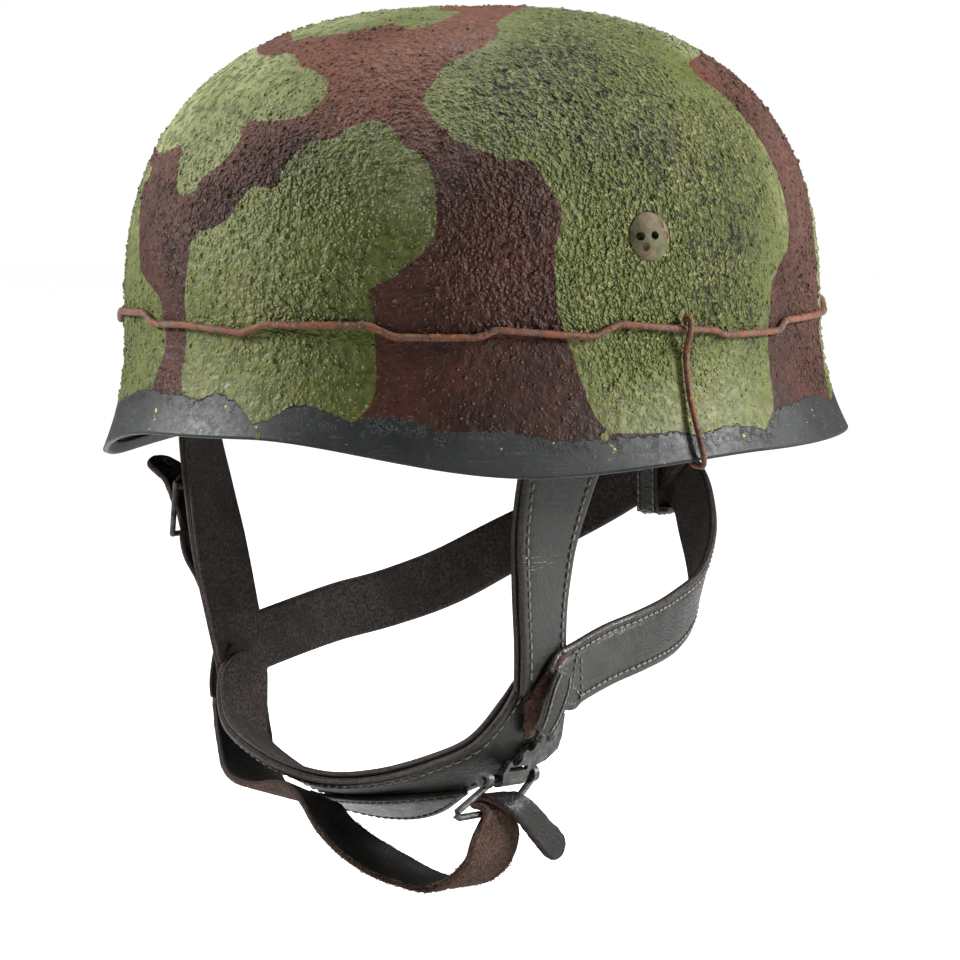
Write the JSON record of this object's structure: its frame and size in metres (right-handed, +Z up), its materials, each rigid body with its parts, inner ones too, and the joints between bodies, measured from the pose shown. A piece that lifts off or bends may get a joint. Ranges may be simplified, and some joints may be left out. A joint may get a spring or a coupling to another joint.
{
  "type": "paratrooper helmet",
  "caption": "Camouflaged steel paratrooper helmet with vented bolts, leather liner, crossed neck straps, chin strap and a loose chin loop on two buckles.",
  "frame": {"origin": "centre of the head opening, at the height of the rim's lowest points over the temples", "axes": "+Z up to the crown, -Y to the front (the way the wearer looks), +X to the wearer's left"},
  "size_m": [0.2414, 0.277, 0.2941],
  "materials": {
    "shell_paint": "sandy matt camouflage paint",
    "bolt_paint": "worn matt paint",
    "bare_steel": "dull",
    "band_metal": "brushed",
    "liner_leather": "worn, smooth",
    "rivet_metal": "dull",
    "sponge": "open sponge",
    "strap_leather": "black, worn satin",
    "suede": "black grain side and brown suede side",
    "buckle_metal": "worn dark metal",
    "rusty_wire": "rusty"
  },
  "bodies": {
    "root": {"shell": "shell_paint", "vented_bolt_front_left": "bolt_paint", "vented_bolt_front_right": "bolt_paint", "vented_bolt_rear_left": "bolt_paint", "vented_bolt_rear_right": "bolt_paint", "bolt_washers": "bare_steel", "bolt_nuts": "bare_steel", "liner_band": "band_metal", "leather_liner": "liner_leather", "liner_rivets": "rivet_metal", "pad_front": "sponge", "pad_rear": "sponge", "pad_side_left": "sponge", "pad_side_right": "sponge", "crown_pad": "sponge", "front_strap_left": "strap_leather", "front_strap_right": "strap_leather", "rear_strap_left": "strap_leather", "rear_strap_right": "strap_leather", "nape_keeper": "strap_leather", "chin_strap": "strap_leather", "chin_pad": "strap_leather", "joint_patch_left": "strap_leather", "joint_patch_right": "strap_leather", "chin_loop": "suede", "buckle_plate": "buckle_metal", "buckle_pin": "buckle_metal", "buckle_rivets": "buckle_metal", "side_chape": "strap_leather", "side_eyelet": "buckle_metal", "foliage_wire": "rusty_wire", "wire_hook_left": "rusty_wire", "wire_hook_right": "rusty_wire"},
    "chin_buckle": {"buckle_frame": "buckle_metal", "loop_tail": "strap_leather"},
    "side_buckle": {"side_buckle_frame": "buckle_metal"},
    "side_prong": {"side_buckle_prong": "buckle_metal"}
  },
  "joints": [
    {"name": "chin_buckle_swing", "type": "hinge", "parent": "root", "child": "chin_buckle", "pos_m": [0.0618, -0.0545, -0.1026], "axis": [0, 1, 0], "range_deg": [-14, 12]},
    {"name": "side_buckle_swing", "type": "hinge", "parent": "root", "child": "side_buckle", "pos_m": [-0.0865, -0.0528, -0.011], "axis": [0.2079, -0.9781, 0], "range_deg": [-32, 0]},
    {"name": "side_prong_swing", "type": "hinge", "parent": "side_buckle", "child": "side_prong", "pos_m": [-0.0865, -0.0528, -0.011], "axis": [0.2079, -0.9781, 0], "range_deg": [-24, 0]}
  ]
}
